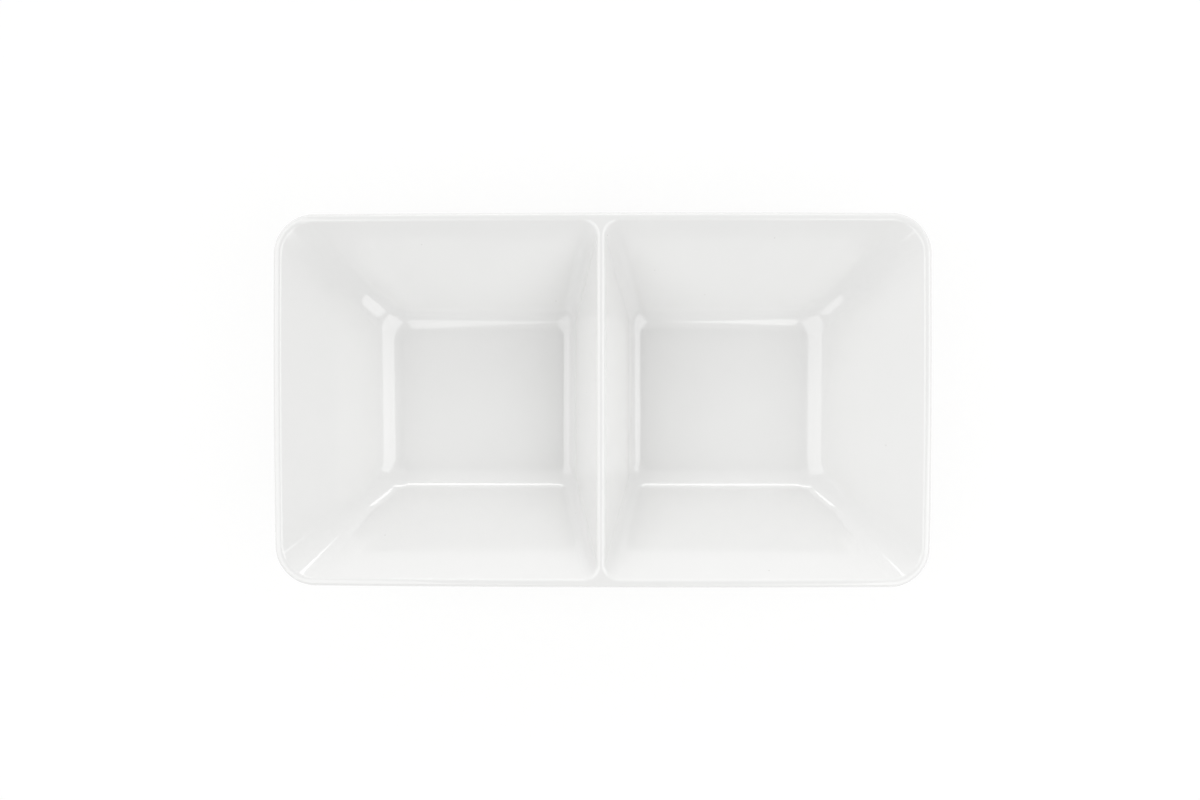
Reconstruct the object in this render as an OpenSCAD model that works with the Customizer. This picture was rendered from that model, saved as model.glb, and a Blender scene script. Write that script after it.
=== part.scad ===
// Rectangular dish with two square wells side by side, compression moulded in white melamine.
// The real dish is one moulding. Its natural zones are modelled as pieces that meet face to face:
// the rim frame with the top of the divider, a bowl on each side, and a foot ring under each bowl.
// Millimetres, +Z up. The origin is on the table under the middle of the dish, and the row of
// wells runs along X. Every surface is skinned over level sections, which are rounded rectangles.

/* [Dish] */
// Length over both wells, at the middle of the short sides
dish_l = 300; // [270:1:360]
// Width over a well, at the middle of the long sides
dish_w = 171; // [160:1:200]
// Height from the table to the rim
dish_h = 50; // [44:0.5:54]
// Corner radius of the outline
corner_r = 18; // [12:0.5:30]
// How far the sides bow outward at the rim
side_bow = 0.7; // [0:0.1:2]

/* [Walls] */
// Thickness of the walls and floors
wall_t = 3; // [2.4:0.1:4]
// Slope of the outer walls, in degrees from level
wall_slope = 47.5; // [42:0.5:60]
// Slope of the divider's two walls, in degrees from level
divider_slope = 74; // [66:1:80]
// Inside radius between the floor and the outer walls
floor_fillet_r = 17; // [10:0.5:20]
// Inside radius between the floor and the divider
divider_fillet_r = 7; // [4:0.5:12]
// Corner radius of the flat floor
floor_corner_r = 4; // [3:0.5:8]
// Corner radius of a well where its floor fillet ends
wall_corner_r = 10.5; // [6:0.5:14]

/* [Rim] */
// Width of the rim, before its edges are rounded
rim_w = 3.4; // [3:0.1:5]
// Width of the divider's top, before its edges are rounded
divider_w = 3.2; // [3:0.1:5]
// Radius of the upper edges of the rim and the divider
rim_edge_r = 1.8; // [0.6:0.1:1.9]
// Corner radius of a well's mouth beside the divider
mouth_corner_r = 7; // [4:0.5:12]
// Height of the thick bead round the outline
bead_h = 3.2; // [3:0.1:5]
// Radius of the bead's lower edge
bead_under_r = 0.8; // [0.3:0.1:1]
// Width of the groove under the divider, at its top
groove_w = 1; // [0.4:0.1:3]

/* [Feet] */
// Height of a foot ring
foot_h = 2; // [1:0.1:3]
// Width of a foot ring at its underside, with its rounded edges
foot_w = 2.6; // [2:0.1:5]
// How far a foot ring reaches past the flat floor
foot_reach = 2.4; // [1:0.1:4]
// Radius of a foot ring's lower edges
foot_edge_r = 0.5; // [0.2:0.1:0.9]
// Draft of a foot ring's sides, in degrees, which widens it toward the bowl
foot_draft = 8; // [0:1:12]

/* [Hidden] */

melamine_white = "#F3F3F1";

// Number of steps in a section's corner and along its side, in a floor fillet, up the straight
// part of a wall, in a rim edge and in a small edge
corner_steps = 10;
side_steps = 8;
fillet_steps = 6;
wall_steps = 3;
edge_steps = 5;
bead_steps = 3;

// How far a cutter passes the face that it cuts
overrun = wall_t / 3;

// Half the length and width at the rim's corners, where the sides have no bow
body_x = dish_l / 2 - side_bow;
body_y = dish_w / 2 - side_bow;

// Top of the floor inside a well, and the depth of the well below the rim
floor_z = foot_h + wall_t;
well_depth = dish_h - floor_z;

// Edges of the right well's mouth, and the corner radius of its two outer corners
mouth_x0 = divider_w / 2;
mouth_x1 = body_x - rim_w;
mouth_y = body_y - rim_w;
mouth_outer_r = corner_r - rim_w;

// Depth of the rim frame: the divider is solid down to where the groove under it begins
divider_run = wall_t / sin(divider_slope);
rim_h = (divider_run - divider_w / 2 + groove_w / 2) * tan(divider_slope);
seam_z = dish_h - rim_h;

// How far a wall reaches out from the flat floor at height h above it, first along its fillet
// of radius r and then up its slope
function reach(h, r, slope) =
    let (tangent_h = r * (1 - cos(slope)))
    h < tangent_h
        ? sqrt(2 * r * h - h * h)
        : r * sin(slope) + (h - tangent_h) / tan(slope);

// Reach of the inside surface at height z, with the rounded edge at the rim
function inside_reach(z, r, slope) =
    let (below_rim = dish_h - z)
    below_rim < rim_edge_r * (1 - cos(slope))
        ? reach(well_depth, r, slope) + rim_edge_r * tan(slope / 2)
            - sqrt(2 * rim_edge_r * below_rim - below_rim * below_rim)
        : reach(z - floor_z, r, slope);

// Edges of the right well's flat floor, found by coming down the walls from its mouth
fillet_reach = floor_fillet_r * sin(wall_slope);
outer_reach = reach(well_depth, floor_fillet_r, wall_slope);
flat_x0 = mouth_x0 + reach(well_depth, divider_fillet_r, divider_slope);
flat_x1 = mouth_x1 - outer_reach;
flat_y = mouth_y - outer_reach;

// Corner radius of a section that reaches so far out: it widens quickly up the floor fillet, and
// slowly from there to the mouth
function widened(mouth_r, outer) =
    let (wall_r = min(wall_corner_r, mouth_r))
    outer < fillet_reach
        ? floor_corner_r + (wall_r - floor_corner_r) * outer / fillet_reach
        : wall_r + (mouth_r - wall_r) * (outer - fillet_reach) / (outer_reach - fillet_reach);

// The sides bow outward more and more toward the rim
function bowed(p, z) =
    let (bow = side_bow * z / dish_h, along_x = p.x / body_x, along_y = p.y / body_y)
    [
        p.x + bow * along_x * (1 - along_y * along_y),
        p.y + bow * along_y * (1 - along_x * along_x),
        z
    ];

// A corner is its centre, its radius and the angle at which its arc starts
function on_corner(c, turn) = [c[0] + c[2] * cos(c[3] + turn), c[1] + c[2] * sin(c[3] + turn)];

// Points of a level section from x0 to x1 and from -y to y, with corner radii r0 at x0 and r1 at x1
function section(x0, x1, y, r0, r1, z) =
    let (corners = [
        [x1 - r1, r1 - y, r1, -90],
        [x1 - r1, y - r1, r1, 0],
        [x0 + r0, y - r0, r0, 90],
        [x0 + r0, r0 - y, r0, 180]
    ])
    [for (i = [0 : 3])
        let (here = corners[i], from = on_corner(here, 90), to = on_corner(corners[(i + 1) % 4], 0))
        each concat(
            [for (k = [0 : corner_steps]) bowed(on_corner(here, 90 * k / corner_steps), z)],
            [for (k = [1 : side_steps - 1]) bowed(from + (to - from) * k / side_steps, z)]
        )];

// Section of the right well, as far out from its flat floor as the two reaches say
function well_section(outer, divider, z) =
    section(
        flat_x0 - divider, flat_x1 + outer, flat_y + outer,
        widened(mouth_corner_r, outer), widened(mouth_outer_r, outer), z
    );

function inside_section(z) =
    well_section(
        inside_reach(z, floor_fillet_r, wall_slope),
        inside_reach(z, divider_fillet_r, divider_slope), z
    );

function outside_section(z) =
    well_section(
        reach(z - foot_h, floor_fillet_r + wall_t, wall_slope),
        reach(z - foot_h, divider_fillet_r + wall_t, divider_slope), z
    );

// Section of the whole dish, as far in from the outline as the inset says
function outline_section(inset, r, z) =
    section(inset - body_x, body_x - inset, body_y - inset, r, r, z);

// The bowls' outer walls, carried up into the rim frame
function outline_wall_section(z) =
    let (outer = reach(z - foot_h, floor_fillet_r + wall_t, wall_slope))
    outline_section(body_x - flat_x1 - outer, widened(mouth_outer_r, outer), z);

// Heights of a wall's sections above its foot, first through the floor fillet of radius r, and
// from where both fillets have ended in even steps up to the top
function wall_heights(r, divider_r, top) =
    let (
        fillet_h = r * (1 - cos(wall_slope)),
        straight_h = max(fillet_h, divider_r * (1 - cos(divider_slope)))
    )
    concat(
        [for (k = [0 : fillet_steps]) r * (1 - cos(wall_slope * k / fillet_steps))],
        straight_h > fillet_h ? [straight_h] : [],
        [for (k = [1 : wall_steps]) straight_h + (top - straight_h) * k / wall_steps]
    );

outside_sections = [
    for (h = wall_heights(floor_fillet_r + wall_t, divider_fillet_r + wall_t, seam_z - foot_h))
        outside_section(foot_h + h)
];

inside_sections = [
    for (h = wall_heights(floor_fillet_r, divider_fillet_r, seam_z - floor_z))
        inside_section(floor_z + h)
];

// The mouth's edge is rounded on the same levels all round, from the steepest wall to the flat top
mouth_sections = [
    inside_section(seam_z - overrun),
    inside_section(seam_z),
    for (k = [0 : edge_steps])
        inside_section(dish_h - rim_edge_r * (1 - cos(divider_slope * (1 - k / edge_steps))))
];

bead_sections = [
    for (k = [0 : bead_steps])
        let (turn = 90 * k / bead_steps)
        outline_section(
            bead_under_r * (1 - sin(turn)), corner_r - bead_under_r * (1 - sin(turn)),
            dish_h - bead_h + bead_under_r * (1 - cos(turn))
        ),
    for (k = [0 : edge_steps])
        let (turn = 90 * k / edge_steps)
        outline_section(
            rim_edge_r * (1 - cos(turn)), corner_r - rim_edge_r * (1 - cos(turn)),
            dish_h - rim_edge_r * (1 - sin(turn))
        )
];

// Section of a foot ring's edge, as far out from the flat floor as the offset says
function foot_section(offset, z) =
    section(
        flat_x0 - offset, flat_x1 + offset, flat_y + offset,
        floor_corner_r + offset, floor_corner_r + offset, z
    );

// Up the outside of a foot ring from its underside, and down its inside. The ring is drawn up to
// the floor's top, and the bowl's underside cuts it off.
foot_top = floor_z;
foot_widening = foot_top * tan(foot_draft);
foot_sections = [
    for (k = [0 : bead_steps])
        let (turn = 90 * k / bead_steps)
        foot_section(foot_reach - foot_edge_r * (1 - sin(turn)), foot_edge_r * (1 - cos(turn))),
    foot_section(foot_reach + foot_widening, foot_top),
    foot_section(foot_reach - foot_w - foot_widening, foot_top),
    for (k = [bead_steps : -1 : 0])
        let (turn = 90 * k / bead_steps)
        foot_section(
            foot_reach - foot_w + foot_edge_r * (1 - sin(turn)), foot_edge_r * (1 - cos(turn))
        )
];

// The lowest part of the outside, which is all that a foot ring meets
underside_sections = [
    for (i = [0 : len(outside_sections) - 1])
        if (i == 0 || outside_sections[i - 1][0].z < foot_top) outside_sections[i]
];

// Two triangles for each step round the band between section i and section j
function band(i, j, n) = [
    for (k = [0 : n - 1])
        let (a = i * n + k, b = i * n + (k + 1) % n, c = j * n + (k + 1) % n, d = j * n + k)
        each [[a, d, c], [a, c, b]]
];

// Solid skinned over sections from the first to the last, with a flat face on each of those two
module loft(sections) {
    n = len(sections[0]);
    last = len(sections) - 1;
    polyhedron(
        points = [for (s = sections) each s],
        faces = concat(
            [[for (k = [0 : n - 1]) k]],
            [for (i = [0 : last - 1]) each band(i, i + 1, n)],
            [[for (k = [n - 1 : -1 : 0]) last * n + k]]
        ),
        convexity = 4
    );
}

// Ring skinned over sections that go all the way round its profile
module hoop(sections) {
    n = len(sections[0]);
    last = len(sections) - 1;
    polyhedron(
        points = [for (s = sections) each s],
        faces = [for (i = [0 : last]) each band(i, (i + 1) % (last + 1), n)],
        convexity = 4
    );
}

// The shapes of the right half are mirrored to the left
module on_left() {
    mirror([1, 0, 0]) children();
}

module bowl() {
    loft(concat(
        outside_sections,
        [for (i = [len(inside_sections) - 1 : -1 : 0]) inside_sections[i]]
    ));
}

module foot_ring() {
    difference() {
        hoop(foot_sections);
        loft(underside_sections);
    }
}

// Cutter for a well's mouth, which goes on straight up past the rim
module mouth() {
    top = mouth_sections[len(mouth_sections) - 1];
    loft(concat(mouth_sections, [[for (p = top) p + [0, 0, overrun]]]));
}

module rim_frame() {
    color(melamine_white)
    difference() {
        loft(concat(
            [outline_wall_section(seam_z), outline_wall_section(dish_h - bead_h)],
            bead_sections
        ));
        mouth();
        on_left() mouth();
    }
}

module left_bowl() {
    color(melamine_white) on_left() bowl();
}

module right_bowl() {
    color(melamine_white) bowl();
}

module left_foot_ring() {
    color(melamine_white) on_left() foot_ring();
}

module right_foot_ring() {
    color(melamine_white) foot_ring();
}

rim_frame();
left_bowl();
right_bowl();
left_foot_ring();
right_foot_ring();
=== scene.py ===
# %% [markdown]
# # A white melamine dish with two wells
# Melamine tableware is made by compression moulding: powdered resin is pressed and cured between
# two hot steel halves, and comes out as one glossy piece. This lesson takes the dish's CAD solids
# as a fixed frame. It gives each of them a finer, smoother twin to be seen, a glazed melamine
# finish, and the light of a small studio.
#
# The first step is to load the frame. Nothing in it may be moved, and its box is kept, because the
# finished dish has to be just as large.

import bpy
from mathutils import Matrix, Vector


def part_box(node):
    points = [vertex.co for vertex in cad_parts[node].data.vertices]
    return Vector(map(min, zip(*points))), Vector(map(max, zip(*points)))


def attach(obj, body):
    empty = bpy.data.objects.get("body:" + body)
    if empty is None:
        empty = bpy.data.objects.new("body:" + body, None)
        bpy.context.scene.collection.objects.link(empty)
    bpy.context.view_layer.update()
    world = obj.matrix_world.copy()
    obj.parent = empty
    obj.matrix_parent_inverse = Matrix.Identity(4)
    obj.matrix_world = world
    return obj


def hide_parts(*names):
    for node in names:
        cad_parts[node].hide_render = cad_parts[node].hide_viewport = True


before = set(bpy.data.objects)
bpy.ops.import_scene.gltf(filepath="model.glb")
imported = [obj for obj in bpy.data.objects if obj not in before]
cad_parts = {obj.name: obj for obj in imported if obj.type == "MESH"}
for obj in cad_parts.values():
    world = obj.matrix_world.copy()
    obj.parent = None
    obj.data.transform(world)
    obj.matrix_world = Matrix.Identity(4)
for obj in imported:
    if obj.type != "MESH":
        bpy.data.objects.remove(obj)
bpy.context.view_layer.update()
print("CAD nodes:", sorted(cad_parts))

# %% Modules
from math import cos, hypot, pi, radians, sin, sqrt, tan

import bmesh
import bpy
from mathutils import Matrix, Vector

print("Blender", bpy.app.version_string)

# %% [markdown]
# ## Sizes
# A maker of moulds works in millimetres, and so does this lesson up to the moment when a mesh is
# filled. These sizes are the ones that the CAD solids were drawn from. X runs along the row of
# wells, Y to the back, and Z up from the table.
#
# The long sides of the rim aren't quite straight but bow out a little, and so do the short ones.
# BODY_X and BODY_Y are half the dish's length and width without that bow.

# %% Sizes in millimetres
MM = 0.001

DISH_L, DISH_W, DISH_H = 300, 171, 50
CORNER_R, SIDE_BOW = 18, 0.7
WALL_T, WALL_SLOPE, DIVIDER_SLOPE = 3, radians(47.5), radians(74)
FLOOR_FILLET_R, DIVIDER_FILLET_R = 17, 7
RIM_W, DIVIDER_W, RIM_EDGE_R, MOUTH_CORNER_R = 3.4, 3.2, 1.8, 7
BEAD_H, BEAD_UNDER_R, GROOVE_W = 3.2, 0.8, 1
FOOT_H, FOOT_W, FOOT_REACH, FOOT_EDGE_R, FOOT_DRAFT = 2, 2.6, 2.4, 0.5, radians(8)

BODY_X = DISH_L / 2 - SIDE_BOW
BODY_Y = DISH_W / 2 - SIDE_BOW
FLOOR_Z = FOOT_H + WALL_T
WELL_DEPTH = DISH_H - FLOOR_Z
print("A well is", WELL_DEPTH, "mm deep")

# %% [markdown]
# ## The profile of a wall
# Each wall of a well rises from the flat floor in a round fillet and goes on up a straight slope.
# At the rim its edge is rounded over, because a sharp edge would chip and cut. A wall could be
# drawn as a Bezier curve, but highlights on gloss show every lump in a curve, so circles and
# straight lines that meet tangent to each other are written as a formula: how far the wall has
# come out from the floor at a given height.

# %% Reach of a wall at a height
def reach(h, r, slope):
    """How far a wall stands out at height h above the floor, round its fillet and up its slope."""
    fillet_h = r * (1 - cos(slope))
    if h < fillet_h:
        return sqrt(2 * r * h - h * h)
    return r * sin(slope) + (h - fillet_h) / tan(slope)


def inside_reach(z, r, slope):
    """The same for the inside of a well at height z, with the rounded edge at its mouth."""
    below_rim = DISH_H - z
    if below_rim < RIM_EDGE_R * (1 - cos(slope)):
        edge = RIM_EDGE_R * tan(slope / 2) - sqrt(2 * RIM_EDGE_R * below_rim - below_rim**2)
        return reach(WELL_DEPTH, r, slope) + edge
    return reach(z - FLOOR_Z, r, slope)


FILLET_REACH = FLOOR_FILLET_R * sin(WALL_SLOPE)
OUTER_REACH = reach(WELL_DEPTH, FLOOR_FILLET_R, WALL_SLOPE)
FLAT_X0 = DIVIDER_W / 2 + reach(WELL_DEPTH, DIVIDER_FILLET_R, DIVIDER_SLOPE)
FLAT_X1 = BODY_X - RIM_W - OUTER_REACH
FLAT_Y = BODY_Y - RIM_W - OUTER_REACH
print("Flat floor in mm:", round(FLAT_X1 - FLAT_X0, 1), "by", round(2 * FLAT_Y, 1))

# %% [markdown]
# ## Level rings
# Seen from above, the well at any height is a rectangle with round corners. So the whole dish can
# be skinned over level rings, as a boat is planked over its frames. Every ring has the same number
# of points in the same order, which gives clean bands of quads with no seams in the reflections.
#
# The corners are tight at the floor and widen toward the rim, with a short stretch above the
# fillet where they draw in again. The wedges of light in a well's back corners show it, because
# they end there. The CAD solid widens without it, and the two lie less than a millimetre apart.

# %% Corner radii
FLOOR_CORNER_R, LOW_CORNER_R, WALL_CORNER_R, CREASE_CORNER_R = 4, 10.5, 12, 9
LOW_REACH, CREASE_REACH = 8, 20


def widened(mouth_r, outer):
    """Corner radius of a ring that lies so far out, on its way from the flat floor to the mouth."""
    knots = [
        (0, FLOOR_CORNER_R), (LOW_REACH, LOW_CORNER_R), (FILLET_REACH, WALL_CORNER_R),
        (CREASE_REACH, CREASE_CORNER_R), (OUTER_REACH, mouth_r),
    ]
    for (from_reach, from_r), (to_reach, to_r) in zip(knots, knots[1:]):
        from_r, to_r = min(from_r, mouth_r), min(to_r, mouth_r)
        r = from_r + (to_r - from_r) * (outer - from_reach) / (to_reach - from_reach)
        if outer < to_reach:
            return r
    return r


print("Corner radius where the fillet ends:", widened(CORNER_R - RIM_W, FILLET_REACH), "mm")

# %% [markdown]
# A ring is put together from its four corners and the straight sides between them, and it starts
# at the front, beside the divider. Last, each point is pushed out a little to give the sides their
# bow. Point DIVIDER_FROM is where the back side ends and the corner beside the divider begins.

# %% Rings with round corners
SIDE_STEPS, CORNER_STEPS = 20, 20
HALF_CORNER = CORNER_STEPS // 2
DIVIDER_FROM = 3 * SIDE_STEPS + 2 * CORNER_STEPS


def bowed(point):
    """The point pushed out, most of all at the rim and in the middle of a side."""
    x, y, z = point
    bow, along_x, along_y = SIDE_BOW * z / DISH_H, x / BODY_X, y / BODY_Y
    return Vector((x + bow * along_x * (1 - along_y**2), y + bow * along_y * (1 - along_x**2), z))


def arc(cx, cy, r, start, z):
    """A quarter turn round (cx, cy), counter-clockwise from the start angle."""
    turns = [start + pi / 2 * k / CORNER_STEPS for k in range(CORNER_STEPS + 1)]
    return [(cx + r * cos(turn), cy + r * sin(turn), z) for turn in turns]


def line(a, b, steps):
    """Points from a toward b, without b itself."""
    return [tuple(p + (q - p) * k / steps for p, q in zip(a, b)) for k in range(steps)]


def closed_ring(corners):
    """A ring through four corners, each after the straight side that leads to it."""
    points = []
    for before, here in zip([corners[-1], *corners[:-1]], corners):
        points += line(before[-1], here[0], SIDE_STEPS) + here[:-1]
    return [bowed(p) for p in points]


def level_ring(x0, x1, y, r0, r1, z):
    """A ring from x0 to x1 and -y to y. Its corners have radius r0 at x0 and r1 at x1."""
    return closed_ring([
        arc(x1 - r1, r1 - y, r1, -pi / 2, z), arc(x1 - r1, y - r1, r1, 0, z),
        arc(x0 + r0, y - r0, r0, pi / 2, z), arc(x0 + r0, r0 - y, r0, pi, z),
    ])


print("Points in a ring:", 4 * (SIDE_STEPS + CORNER_STEPS))

# %% [markdown]
# A ring of a well lies as far out from the edge of the flat floor as the wall has come at that
# height. On three sides that is the reach of an outer wall, and on the fourth that of the
# divider's steeper face. The fillets on the outside of the bowl have the same centres as the ones
# inside, so their radii are larger by the wall's thickness.

# %% Rings of a well
def well_ring(outer, divider, z):
    """A ring of the right well, as far out from its flat floor as the two reaches say."""
    return level_ring(
        FLAT_X0 - divider, FLAT_X1 + outer, FLAT_Y + outer,
        widened(MOUTH_CORNER_R, outer), widened(CORNER_R - RIM_W, outer), z,
    )


def inside_ring(z):
    """The ring of a well's inside at height z."""
    return well_ring(
        inside_reach(z, FLOOR_FILLET_R, WALL_SLOPE),
        inside_reach(z, DIVIDER_FILLET_R, DIVIDER_SLOPE), z,
    )


def outside_ring(z):
    """The ring of a well's outside at height z. The wall between the two is WALL_T thick."""
    return well_ring(
        reach(z - FOOT_H, FLOOR_FILLET_R + WALL_T, WALL_SLOPE),
        reach(z - FOOT_H, DIVIDER_FILLET_R + WALL_T, DIVIDER_SLOPE), z,
    )


mouth_x = [p.x for p in inside_ring(DISH_H)]
print("Mouth of a well:", round(max(mouth_x) - min(mouth_x), 1), "mm from left to right")

# %% [markdown]
# ## From rings to a mesh
# bmesh is Blender's mesh kit for scripts. One helper lays quads between each row of points and the
# next. It can mirror them as well, so that the left half of the dish is the right half's image.

# %% Skin
def skin(bm, rows, side=1, around=True):
    """Quads between each row and the next. Side -1 mirrors them to the left half of the dish."""
    laid = [[bm.verts.new((side * p.x * MM, p.y * MM, p.z * MM)) for p in row] for row in rows]
    for here, there in zip(laid, laid[1:]):
        for k in range(len(here) if around else len(here) - 1):
            n = (k + 1) % len(here)
            bm.faces.new((here[k], here[n], there[n], there[k]))
    return laid


trial = bmesh.new()
skin(trial, [inside_ring(FLOOR_Z), inside_ring(DISH_H)])
print("A skin between two rings has", len(trial.faces), "quads")
trial.free()

# %% [markdown]
# Another helper closes a piece: points that coincide are merged, all faces are turned outward, and
# shading is smooth except across real edges. The piece then stands for its CAD node and rides on
# the dish's only body. The count of open edges shows whether the skin is watertight.

# %% Pieces
WELD, SHARP_EDGE = 0.002, radians(30)
pieces = {}


def finish_piece(bm, name, node):
    """Makes the filled bmesh an object that stands for a CAD node."""
    bmesh.ops.remove_doubles(bm, verts=bm.verts, dist=WELD * MM)
    bmesh.ops.recalc_face_normals(bm, faces=bm.faces)
    open_edges = sum(not edge.is_manifold for edge in bm.edges)
    for face in bm.faces:
        face.smooth = True
    mesh = bpy.data.meshes.new(name)
    bm.to_mesh(mesh)
    bm.free()
    mesh.set_sharp_from_angle(angle=SHARP_EDGE)
    piece = bpy.data.objects.new(name, mesh)
    bpy.context.scene.collection.objects.link(piece)
    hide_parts(node)
    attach(piece, "root")
    pieces[node] = piece
    print(f"{name}: {len(mesh.polygons)} faces, {open_edges} open edges")


print("Points closer than", WELD, "mm are merged")

# %% [markdown]
# ## The two wells
# A bowl's skin starts in the middle of its underside, goes out and up its outer wall to the seam
# with the rim, crosses the wall's thickness and comes down inside to the floor. The rings lie close
# together round the fillets, where the softboxes are mirrored, and further apart on the straight
# slopes. The flat faces in the middle have one more ring just inside their edge. Without it the
# smooth shading of the fillet would leak over the whole floor.
#
# The seam is a level cut where the walls are straight, so the light runs across it unbroken. Its
# height comes from the narrow groove that the two bowls leave between them, under the divider.
# WEB_Z is the top of that groove, and the seam lies where the groove's round top begins.

# %% Bowls
FILLET_STEPS, SLOPE_STEPS, MOUTH_STEPS = 24, 36, 4
FLAT_MARGIN = 0.6

wall_run = WALL_T / sin(DIVIDER_SLOPE)
WEB_Z = DISH_H - (wall_run - DIVIDER_W / 2 + GROOVE_W / 2) * tan(DIVIDER_SLOPE)
GROOVE_TOP_R = GROOVE_W / 2 * sin(DIVIDER_SLOPE) / (1 - cos(DIVIDER_SLOPE))
SEAM_Z = WEB_Z - GROOVE_TOP_R * (1 - cos(DIVIDER_SLOPE))


def between(low, high, steps):
    """Values at equal steps from low to high, with both ends."""
    return [low + (high - low) * k / steps for k in range(steps + 1)]


def wall_levels(base, r, divider_r):
    """Heights of the rings of a wall, from its base round the fillets and up to the seam."""
    fillet = [r * (1 - cos(turn)) for turn in between(0, WALL_SLOPE, FILLET_STEPS)]
    start = max(fillet[-1], divider_r * (1 - cos(DIVIDER_SLOPE)))
    straight = between(start, SEAM_Z - base, SLOPE_STEPS)
    return [base + h for h in fillet[:-1] + straight if h != fillet[-1]]


def add_bowl(name, node, side):
    """Makes the bowl on one side of the divider, 1 for the right one and -1 for the left one."""
    outside = wall_levels(FOOT_H, FLOOR_FILLET_R + WALL_T, DIVIDER_FILLET_R + WALL_T)
    inside = wall_levels(FLOOR_Z, FLOOR_FILLET_R, DIVIDER_FILLET_R)
    rows = [well_ring(-FLAT_MARGIN, -FLAT_MARGIN, FOOT_H)]
    rows += [outside_ring(z) for z in outside] + [inside_ring(z) for z in reversed(inside)]
    rows += [well_ring(-FLAT_MARGIN, -FLAT_MARGIN, FLOOR_Z)]
    bm = bmesh.new()
    laid = skin(bm, rows, side)
    bm.faces.new(laid[0])
    bm.faces.new(laid[-1])
    finish_piece(bm, name, node)


add_bowl("right_well", "right_bowl", 1)
add_bowl("left_well", "left_bowl", -1)

# %% [markdown]
# ## The rim and the divider
# The rim frame is what holds both wells: a thick rounded bead all round, a narrow flat land, and
# the top of the divider, which spreads into a small Y where it meets the long sides. It is drawn as
# a right half whose rows end in the middle of the dish, and then the same rows mirrored.
#
# A ring of the half follows the outline, and where a well has its divider side this ring runs
# along the middle of the dish. So each point of the mouth has a partner to be joined to.

# %% Rings of the half rim
seam_outer = reach(SEAM_Z - FOOT_H, FLOOR_FILLET_R + WALL_T, WALL_SLOPE)
seam_divider = reach(SEAM_Z - FOOT_H, DIVIDER_FILLET_R + WALL_T, DIVIDER_SLOPE)
seam_corner_r = widened(MOUTH_CORNER_R, seam_outer)
NEAR_X = FLAT_X0 - seam_divider + seam_corner_r
NEAR_Y = FLAT_Y + seam_outer - seam_corner_r


def wall_inset(z):
    """How far the outer wall stands in from the outline at height z."""
    return BODY_X - FLAT_X1 - reach(z - FOOT_H, FLOOR_FILLET_R + WALL_T, WALL_SLOPE)


def wall_corner_r(z):
    """Corner radius of the outer wall at height z."""
    return widened(CORNER_R - RIM_W, BODY_X - FLAT_X1 - wall_inset(z))


def half_ring(inset_at, r, z, rise=0):
    """A ring of the half rim. It rises toward the middle, where the groove ends in an arch."""
    x1, y = BODY_X - inset_at(z), BODY_Y - inset_at(z)
    to_middle = []
    for k in range(HALF_CORNER):
        lift = z + rise * sin(pi / 2 * k / HALF_CORNER)
        to_middle.append((NEAR_X * (1 - k / HALF_CORNER), BODY_Y - inset_at(lift), lift))
    top = z + rise
    to_middle += line((0, BODY_Y - inset_at(top), top), (0, NEAR_Y, top), HALF_CORNER)
    to_middle.append((0, NEAR_Y, top))
    from_middle = [(px, -py, pz) for px, py, pz in reversed(to_middle)]
    return closed_ring([
        arc(x1 - r, r - y, r, -pi / 2, z), arc(x1 - r, y - r, r, 0, z), to_middle, from_middle,
    ])


def outline_part(ring):
    """The part of a half ring on the outline, from the middle of the front to that of the back."""
    return ring[-HALF_CORNER:] + ring[: DIVIDER_FROM + HALF_CORNER + 1]


def divider_part(ring):
    """The part of a ring beside the divider, its two corners included."""
    return ring[DIVIDER_FROM:] + ring[:1]


print("The divider stands", round(DISH_H - WEB_Z, 2), "mm deep over the groove")

# %% [markdown]
# The bead's profile is a list of insets, corner radii and heights. It runs from the land over the
# upper edge, down the side, round the lower edge, and through a small root fillet into the outer
# wall, as the mould leaves it.

# %% Profile of the bead
EDGE_STEPS, BEAD_STEPS = 16, 8
BEAD_ROOT_R = 0.8

bead_z = DISH_H - BEAD_H
bead_rows = []
for turn in between(0, pi / 2, EDGE_STEPS):
    inset = RIM_EDGE_R * (1 - sin(turn))
    bead_rows.append((inset, CORNER_R - inset, DISH_H - RIM_EDGE_R * (1 - cos(turn))))
for turn in between(0, pi / 2, BEAD_STEPS):
    inset = BEAD_UNDER_R * (1 - cos(turn))
    bead_rows.append((inset, CORNER_R - inset, bead_z + BEAD_UNDER_R * (1 - sin(turn))))
for turn in between(0, WALL_SLOPE, BEAD_STEPS):
    inset = wall_inset(bead_z) - BEAD_ROOT_R * (tan(WALL_SLOPE / 2) - sin(turn))
    z = bead_z - BEAD_ROOT_R * (1 - cos(turn))
    bead_rows.append((inset, wall_corner_r(z), z))
print("Rows of the bead:", len(bead_rows))

# %% [markdown]
# The mouth of a well goes on from the seam, up the straight wall and over its rounded edge to the
# land. Between the two bowls, under the divider, lies the narrow groove. Its round top spans from
# the seam to the web, a ring that rises from the seam's height to the top of the groove along the
# middle of the dish.

# %% Rim frame
GROOVE_STEPS = 6

mouth_turns = between(DIVIDER_SLOPE, 0, EDGE_STEPS)
mouth_levels = [DISH_H - RIM_EDGE_R * (1 - cos(turn)) for turn in mouth_turns]
mouth = [inside_ring(z) for z in between(SEAM_Z, mouth_levels[0], MOUTH_STEPS) + mouth_levels[1:]]
land = half_ring(lambda z: RIM_EDGE_R, CORNER_R - RIM_EDGE_R, DISH_H)
outline = [outline_part(half_ring(lambda z: inset, r, z)) for inset, r, z in bead_rows]
web = half_ring(wall_inset, wall_corner_r(SEAM_Z), SEAM_Z, WEB_Z - SEAM_Z)
seam = outside_ring(SEAM_Z)

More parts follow.
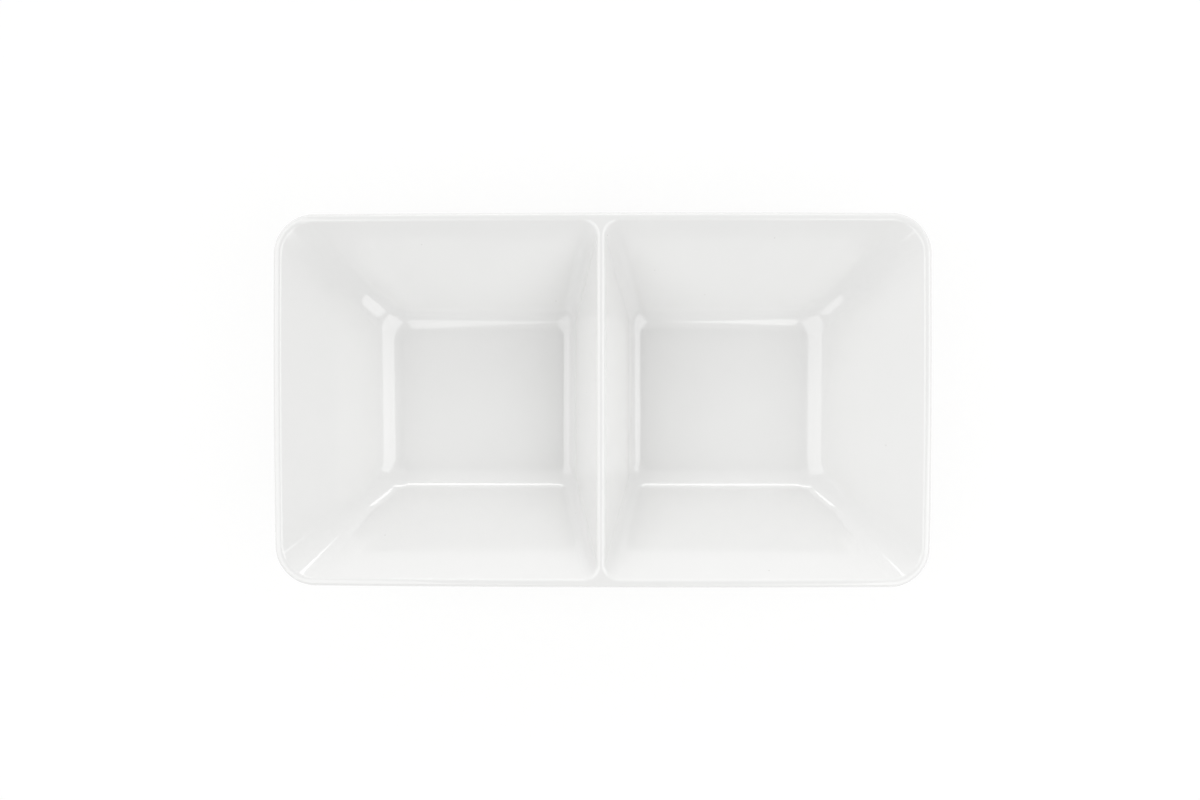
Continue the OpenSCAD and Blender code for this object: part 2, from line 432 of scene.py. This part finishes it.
groove = []
for turn in between(DIVIDER_SLOPE, 0, GROOVE_STEPS):
    across = sin(turn) / sin(DIVIDER_SLOPE)
    up = (cos(turn) - cos(DIVIDER_SLOPE)) / (1 - cos(DIVIDER_SLOPE))
    groove.append([
        Vector((q.x + (p.x - q.x) * across, q.y + (p.y - q.y) * across, p.z + (q.z - p.z) * up))
        for p, q in zip(divider_part(seam), divider_part(web))
    ])

bm = bmesh.new()
for side in (1, -1):
    skin(bm, [seam, *mouth, land], side)
    skin(bm, [*outline, outline_part(web)], side, around=False)
    skin(bm, groove, side, around=False)
finish_piece(bm, "rim_and_divider", "rim_frame")

# %% [markdown]
# ## Foot rings
# Under each well the dish stands on a low ring, so that only a narrow edge touches the table and
# the dish doesn't rock. The ring follows the flat floor. Its sides lean a little so that it leaves
# the mould, and its root runs into the bowl in a small fillet. The bowl's underside is curved
# there, so each point of the root first asks how high the underside is above it. The rings say
# what lies inside the bowl at a height, so the answer is found by halving a range of heights.

# %% Height of the underside
HALVINGS = 24


def past_ring(x, y, outer, divider):
    """How far a point lies past a well's level ring, and less than 0 inside it."""
    x0, x1 = FLAT_X0 - divider, FLAT_X1 + outer
    r = widened(MOUTH_CORNER_R if x < (x0 + x1) / 2 else CORNER_R - RIM_W, outer)
    dx, dy = max(x0 - x, x - x1) + r, abs(y) - FLAT_Y - outer + r
    return hypot(max(dx, 0), max(dy, 0)) + min(max(dx, dy), 0) - r


def underside_z(x, y):
    """Height of the bowl's underside over a point, found by halving the range again and again."""
    low, high = FOOT_H, FOOT_H + WALL_T
    for _ in range(HALVINGS):
        z = (low + high) / 2
        outer = reach(z - FOOT_H, FLOOR_FILLET_R + WALL_T, WALL_SLOPE)
        divider = reach(z - FOOT_H, DIVIDER_FILLET_R + WALL_T, DIVIDER_SLOPE)
        low, high = (z, high) if past_ring(x, y, outer, divider) > 0 else (low, z)
    return low


foot_z = underside_z(FLAT_X1 + FOOT_REACH, 0)
print("Underside at a foot ring's outer edge:", round(foot_z, 2), "mm up")

# %% [markdown]
# A foot ring's profile has two halves, one on each side of its middle. Each half goes from the root
# fillet down the leaning side and round the edge that touches the table.

# %% Foot rings
ROOT_R, ROOT_STEPS, FOOT_EDGE_STEPS = 0.7, 6, 6


def foot_ring(offset, z):
    """A level ring at height z, offset from the edge of the flat floor."""
    r = FLOOR_CORNER_R + offset
    return level_ring(FLAT_X0 - offset, FLAT_X1 + offset, FLAT_Y + offset, r, r, z)


def root_ring(offset, clearance):
    """A ring that lies so far below the bowl's underside."""
    ring = foot_ring(offset, FOOT_H)
    return [Vector((p.x, p.y, underside_z(p.x, p.y) - clearance)) for p in ring]


side_lean = (FOOT_H - ROOT_R - FOOT_EDGE_R) * tan(FOOT_DRAFT)
inner_edge, middle = FOOT_REACH - FOOT_W, FOOT_REACH - FOOT_W / 2


def foot_half(out):
    """Rows of one half of a foot ring, from its root down to the table. Out is 1 or -1."""
    edge = middle + out * FOOT_W / 2
    rows = []
    for turn in between(0, pi / 2 - FOOT_DRAFT, ROOT_STEPS):
        offset = edge + out * (side_lean + ROOT_R * (1 - sin(turn)))
        rows.append(root_ring(offset, ROOT_R * (1 - cos(turn))))
    for turn in between(0, pi / 2, FOOT_EDGE_STEPS):
        offset = edge - out * FOOT_EDGE_R * (1 - cos(turn))
        rows.append(foot_ring(offset, FOOT_EDGE_R * (1 - sin(turn))))
    return rows


outer_half, inner_half = foot_half(1), foot_half(-1)
for name, node, side in (("right_foot", "right_foot_ring", 1), ("left_foot", "left_foot_ring", -1)):
    bm = bmesh.new()
    skin(bm, [*outer_half, *reversed(inner_half), outer_half[0]], side)
    finish_piece(bm, name, node)

# %% [markdown]
# ## How well the twins fit
# Each piece is set against the box of the CAD node that it stands for. Two things make about half
# a millimetre of difference. The seam between bowl and rim lies lower here, where the groove's
# round top begins, and the root fillets make the foot rings wider. The whole dish stays as large.

# %% Compare with the CAD nodes
for node, piece in pieces.items():
    node_low, node_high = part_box(node)
    points = [v.co for v in piece.data.vertices]
    low = [min(point[i] for point in points) for i in range(3)]
    high = [max(point[i] for point in points) for i in range(3)]
    off = max(abs(a - b) for a, b in zip([*low, *high], [*node_low, *node_high]))
    print(f"{piece.name}: box within {off / MM:.2f} mm of the CAD node")

# %% [markdown]
# ## The finish: compression-moulded melamine
# Melamine-formaldehyde resin filled with fine cellulose is hard and white all the way through, and
# a film of clear resin is fused over it in the mould. The eye sees an even, slightly warm white
# body under a sharp reflection, which is why it passes for porcelain. Three things give it away as
# plastic: the mould steel's polish leaves a faint long wave, the film has a fine orange peel of
# about 2 mm, and a few dark grains, smaller than a poppy seed, sit in the white.
#
# An image texture could carry these, but a pattern made by nodes has no pixels and needs no
# unwrapping. Colours are written as sRGB hex values, which one function turns to linear light.

# %% Node helpers
def linear(hex_colour):
    """An sRGB hex value such as "#F3F3F1" as the linear colour that a node takes."""
    channels = [int(hex_colour[i : i + 2], 16) / 255 for i in (1, 3, 5)]
    return [c / 12.92 if c <= 0.04045 else ((c + 0.055) / 1.055) ** 2.4 for c in channels] + [1]


def add(tree, kind, inputs=None, **settings):
    """Adds a node. An input is a number, a colour, or the output of another node to link to."""
    node = tree.nodes.new(kind)
    for name, value in settings.items():
        setattr(node, name, value)
    for name, value in (inputs or {}).items():
        if isinstance(value, bpy.types.NodeSocket):
            tree.links.new(value, node.inputs[name])
        else:
            node.inputs[name].default_value = value
    return node


print("Half grey in linear light:", round(linear("#808080")[0], 3))

# %% [markdown]
# The texture space is the dish itself in metres, so a pattern's scale is one over its real size.
# The body's white drifts very slightly over some 30 mm, as the powder flowed. The grains come from
# a Voronoi pattern: where one of its points happens to lie close to the surface, a speck shows.

# %% Colour of the melamine
melamine = bpy.data.materials.new("compression_moulded_melamine")
melamine.use_nodes = True
tree = melamine.node_tree
tree.nodes.clear()

FLOW_SIZE, GRAIN_SPACING, GRAIN_R, GRAIN_SHARE = 0.030, 0.014, 0.00035, 0.5
place = add(tree, "ShaderNodeTexCoord").outputs["Object"]
flow = add(tree, "ShaderNodeTexNoise", {"Vector": place, "Scale": 1 / FLOW_SIZE, "Detail": 2})
body_white = add(tree, "ShaderNodeMix", {
    0: flow.outputs["Fac"], 6: linear("#F6F6F5"), 7: linear("#F3F3F2"),
}, data_type="RGBA")
grains = add(tree, "ShaderNodeTexVoronoi", {"Vector": place, "Scale": 1 / GRAIN_SPACING})
grain = add(tree, "ShaderNodeMapRange", {
    "Value": grains.outputs["Distance"],
    "From Min": GRAIN_R / GRAIN_SPACING, "From Max": GRAIN_R / GRAIN_SPACING / 2,
    "To Min": 0, "To Max": GRAIN_SHARE,
}, interpolation_type="SMOOTHSTEP")
white = add(tree, "ShaderNodeMix", {
    0: grain.outputs["Result"], 6: body_white.outputs[2], 7: linear("#B9B6B0"),
}, data_type="RGBA")
print("One point of the grain pattern in each", round(GRAIN_SPACING / MM), "mm")

# %% [markdown]
# The gloss is close to that of glass, and a little duller in broad patches where the dish was
# handled and stacked. Round the bead, at the height where the two halves of the mould meet, the
# flash has been ground off and buffed, which leaves a hairline that is less glossy. It lies only
# where the bead's side is upright, and the surface normal tells where that is.

# %% Gloss of the melamine
POLISH, SMUDGE, BUFFED = 0.05, 0.03, 0.2
SMUDGE_SIZE, SMUDGE_FROM, SMUDGE_TO = 0.045, 0.35, 0.7
PARTING_Z, PARTING_H, UPRIGHT_LEAN = 0.0479, 0.0003, 0.05

smudges = add(tree, "ShaderNodeTexNoise", {"Vector": place, "Scale": 1 / SMUDGE_SIZE, "Detail": 3})
gloss = add(tree, "ShaderNodeMapRange", {
    "Value": smudges.outputs["Fac"], "From Min": SMUDGE_FROM, "From Max": SMUDGE_TO,
    "To Min": POLISH, "To Max": POLISH + SMUDGE,
})
height = add(tree, "ShaderNodeSeparateXYZ", {0: place}).outputs["Z"]
from_line = add(tree, "ShaderNodeMath", {0: height, 1: PARTING_Z}, operation="SUBTRACT")
distance = add(tree, "ShaderNodeMath", {0: from_line.outputs[0]}, operation="ABSOLUTE")
on_line = add(tree, "ShaderNodeMath", {
    0: distance.outputs[0], 1: PARTING_H / 2,
}, operation="LESS_THAN")
normal = add(tree, "ShaderNodeNewGeometry").outputs["Normal"]
lean = add(tree, "ShaderNodeSeparateXYZ", {0: normal}).outputs["Z"]
lean = add(tree, "ShaderNodeMath", {0: lean}, operation="ABSOLUTE").outputs[0]
upright = add(tree, "ShaderNodeMath", {0: lean, 1: UPRIGHT_LEAN}, operation="LESS_THAN").outputs[0]
buffed = add(tree, "ShaderNodeMath", {0: on_line.outputs[0], 1: upright}, operation="MULTIPLY")
roughness = add(tree, "ShaderNodeMath", {
    0: buffed.outputs[0], 1: BUFFED, 2: gloss.outputs["Result"],
}, operation="MULTIPLY_ADD")
print("Roughness", POLISH, "to", round(POLISH + SMUDGE, 2), "and", BUFFED, "more on the hairline")

# %% [markdown]
# The orange peel is about a thousandth of a millimetre high and the long wave about a hundredth.
# The bump node takes their true height in metres, so its strength and distance both stay at 1.
#
# Cured melamine resin has an index of refraction near 1.68, and its cellulose filler 1.55. Both
# layers, the body and the film of resin over it, were matched to the mirror images in the wells at
# 1.6. That is still above most plastics. The film is the shader's coat, a second clear layer over
# the white, and its weight of 0.8 was matched in the same way. It is as polished as the mould.

# %% Surface of the melamine
PEEL_SIZE, PEEL_H = 0.0022, 0.0000012
WAVE_SIZE, WAVE_H = 0.035, 0.000012
MELAMINE_IOR, GLAZE = 1.6, 0.8

peel = add(tree, "ShaderNodeTexNoise", {"Vector": place, "Scale": 1 / PEEL_SIZE, "Detail": 1})
wave = add(tree, "ShaderNodeTexNoise", {"Vector": place, "Scale": 1 / WAVE_SIZE, "Detail": 0})
wave_h = add(tree, "ShaderNodeMath", {0: wave.outputs["Fac"], 1: WAVE_H}, operation="MULTIPLY")
relief = add(tree, "ShaderNodeMath", {
    0: peel.outputs["Fac"], 1: PEEL_H, 2: wave_h.outputs[0],
}, operation="MULTIPLY_ADD")
bump = add(tree, "ShaderNodeBump", {"Strength": 1, "Distance": 1, "Height": relief.outputs[0]})
shader = add(tree, "ShaderNodeBsdfPrincipled", {
    "Base Color": white.outputs[2], "Roughness": roughness.outputs[0],
    "Normal": bump.outputs["Normal"], "IOR": MELAMINE_IOR,
    "Coat Weight": GLAZE, "Coat Roughness": POLISH, "Coat IOR": MELAMINE_IOR,
    "Coat Normal": bump.outputs["Normal"],
})
add(tree, "ShaderNodeOutputMaterial", {"Surface": shader.outputs["BSDF"]})

for piece in pieces.values():
    piece.data.materials.append(melamine)
print("Melamine nodes:", len(tree.nodes))

# %% [markdown]
# ## The sheet of paper
# The dish stands on a wide pale sheet. To a camera, and in any reflection, the sheet is mixed with
# an even white, so that the background is clean and still holds a trace of the dish's shadow. For
# all other light it is plain pale paper.

# %% Floor
SHEET_R, SHEET_SIDES = 30.0, 96
WHITE_SHARE, WHITE_LEVEL = 0.8, 1.05

paper = bpy.data.materials.new("seamless_paper")
paper.use_nodes = True
tree = paper.node_tree
tree.nodes.clear()
path = add(tree, "ShaderNodeLightPath")
seen = add(tree, "ShaderNodeMath", {
    0: path.outputs["Is Camera Ray"], 1: path.outputs["Is Glossy Ray"],
}, operation="MAXIMUM")
seen = add(tree, "ShaderNodeMath", {
    0: seen.outputs[0], 1: path.outputs["Is Transmission Ray"],
}, operation="MAXIMUM")
share = add(tree, "ShaderNodeMath", {0: seen.outputs[0], 1: WHITE_SHARE}, operation="MULTIPLY")
sheet = add(tree, "ShaderNodeBsdfDiffuse", {"Color": linear("#F0F0EE")})
clean = add(tree, "ShaderNodeEmission", {"Color": linear("#FFFFFF"), "Strength": WHITE_LEVEL})
mixed = add(tree, "ShaderNodeMixShader", {
    0: share.outputs[0], 1: sheet.outputs[0], 2: clean.outputs[0],
})
add(tree, "ShaderNodeOutputMaterial", {"Surface": mixed.outputs[0]})

bm = bmesh.new()
bmesh.ops.create_circle(bm, cap_ends=True, segments=SHEET_SIDES, radius=SHEET_R)
mesh = bpy.data.meshes.new("paper_sheet")
bm.to_mesh(mesh)
bm.free()
mesh.materials.append(paper)
floor = bpy.data.objects.new("paper_sheet", mesh)
bpy.context.scene.collection.objects.link(floor)
print("Sheet of paper:", 2 * SHEET_R, "m across")

# %% [markdown]
# ## The room
# The room is a large light tent whose ceiling is dim and whose walls are lighter, most of all the
# one at the back. It is the world of the scene, so it has no mesh. A ramp over the sine of the
# elevation gives the ceiling's level, and each wall adds a level that falls with the square of the
# cosine to it. The floors of the wells mirror the dim ceiling over the camera, so they look greyer
# than the sloping walls, which mirror each other.

# %% Room
CEILING_RAMP = [(0.0, 0.03), (0.5, 0.17), (0.79, 0.28), (0.9, 0.37), (0.96, 0.35), (0.99, 0.17)]
TENT_WALLS = [("X", -1, 0.8), ("X", 1, 0.66), ("Y", 1, 1.14), ("Y", -1, 0.52)]

world = bpy.data.worlds.new("studio_room")
bpy.context.scene.world = world
world.use_nodes = True
tree = world.node_tree
direction = add(tree, "ShaderNodeSeparateXYZ", {
    0: add(tree, "ShaderNodeTexCoord").outputs["Generated"],
})
ramp = add(tree, "ShaderNodeValToRGB", {"Fac": direction.outputs["Z"]})
stops = ramp.color_ramp.elements
ready_stops = len(stops)
for k, (position, level) in enumerate(CEILING_RAMP):
    stop = stops[k] if k < ready_stops else stops.new(position)
    stop.position, stop.color = position, (level, level, level, 1)
light = ramp.outputs["Color"]
for axis, sign, extra in TENT_WALLS:
    toward = add(tree, "ShaderNodeMath", {
        0: direction.outputs[axis], 1: sign,
    }, operation="MULTIPLY")
    toward = add(tree, "ShaderNodeMath", {0: toward.outputs[0], 1: 0}, operation="MAXIMUM")
    squared = add(tree, "ShaderNodeMath", {0: toward.outputs[0], 1: 2}, operation="POWER")
    light = add(tree, "ShaderNodeMath", {
        0: squared.outputs[0], 1: extra, 2: light,
    }, operation="MULTIPLY_ADD").outputs[0]
background = tree.nodes["Background"]
background.inputs["Color"].default_value = linear("#FFFFFF")
tree.links.new(light, background.inputs["Strength"])
print("Walls of the tent:", TENT_WALLS)

# %% [markdown]
# ## Lamps
# Two softboxes stand left and right of the dish, a little to the front, and leave the middle free
# for the camera. Their mirror images are the bright bands along the fillets and the wedges in the
# corners at the back, and each image ends where the surface no longer turns toward the lamp. So
# the ends of the bands give the lamps' edges. The left one stands further away and is larger. A
# low strip at the back draws the thin line along the front fillets.

# %% Softboxes
TARGET = Vector((0, 0, DISH_H * MM))


def softbox(name, azimuth, elevation, distance, width, height, roll, watts):
    """A rectangular lamp that faces the dish. Azimuth 0 is the right side and 90 the back.

    Angles are in degrees, lengths in metres, and roll turns the lamp in its own plane.
    """
    a, e = radians(azimuth), radians(elevation)
    away = Vector((cos(e) * cos(a), cos(e) * sin(a), sin(e)))
    along = Vector((-sin(a), cos(a), 0))
    upward = away.cross(along)
    across = along * cos(radians(roll)) + upward * sin(radians(roll))
    lamp = bpy.data.lights.new(name, "AREA")
    lamp.shape, lamp.size, lamp.size_y, lamp.energy = "RECTANGLE", width, height, watts
    box = bpy.data.objects.new(name, lamp)
    turn = Matrix((across, away.cross(across), away)).transposed()
    box.matrix_world = Matrix.Translation(TARGET + away * distance) @ turn.to_4x4()
    box.visible_camera = False
    bpy.context.scene.collection.objects.link(box)
    print(f"{name}: {width} by {height} m, {watts} W")


softbox("left_softbox", 196, 53, 2.5, 3.3, 2.1, 2, 17.4)
softbox("right_softbox", -22, 49, 1.5, 1.95, 1.08, -9, 7.2)
softbox("back_strip", 90, 28, 1.5, 0.8, 0.18, 0, 0.9)

# %% [markdown]
# ## Camera
# The photograph looks almost straight down. The back and right rims are a trace larger than the
# front and left ones, so the camera stands a degree or so to the back and the right, and it aims a
# fraction of a millimetre beside the middle of the rim. The distance comes from how much smaller
# the floor of a well shows than its mouth. The lens follows from the dish's length in the picture.

# %% Camera over the dish
CAMERA_DISTANCE, TILT_BACK, TILT_RIGHT = 0.52, radians(1.15), radians(1.0)
PICTURE_WIDTH, PIXELS_PER_METRE = 1200, 2200
AIM = Vector((-0.45 * MM, 0.27 * MM, DISH_H * MM))

away = Vector((tan(TILT_RIGHT), tan(TILT_BACK), 1)).normalized()
right = Vector((0, 1, 0)).cross(away).normalized()
turn = Matrix((right, away.cross(right), away)).transposed()
lens = bpy.data.cameras.new("camera")
lens.lens = PIXELS_PER_METRE * CAMERA_DISTANCE * lens.sensor_width / PICTURE_WIDTH
camera = bpy.data.objects.new("camera", lens)
camera.matrix_world = Matrix.Translation(AIM + away * CAMERA_DISTANCE) @ turn.to_4x4()
bpy.context.scene.collection.objects.link(camera)
bpy.context.scene.camera = camera
bpy.context.scene.view_settings.view_transform = "Standard"
print("Lens:", round(lens.lens, 2), "mm")
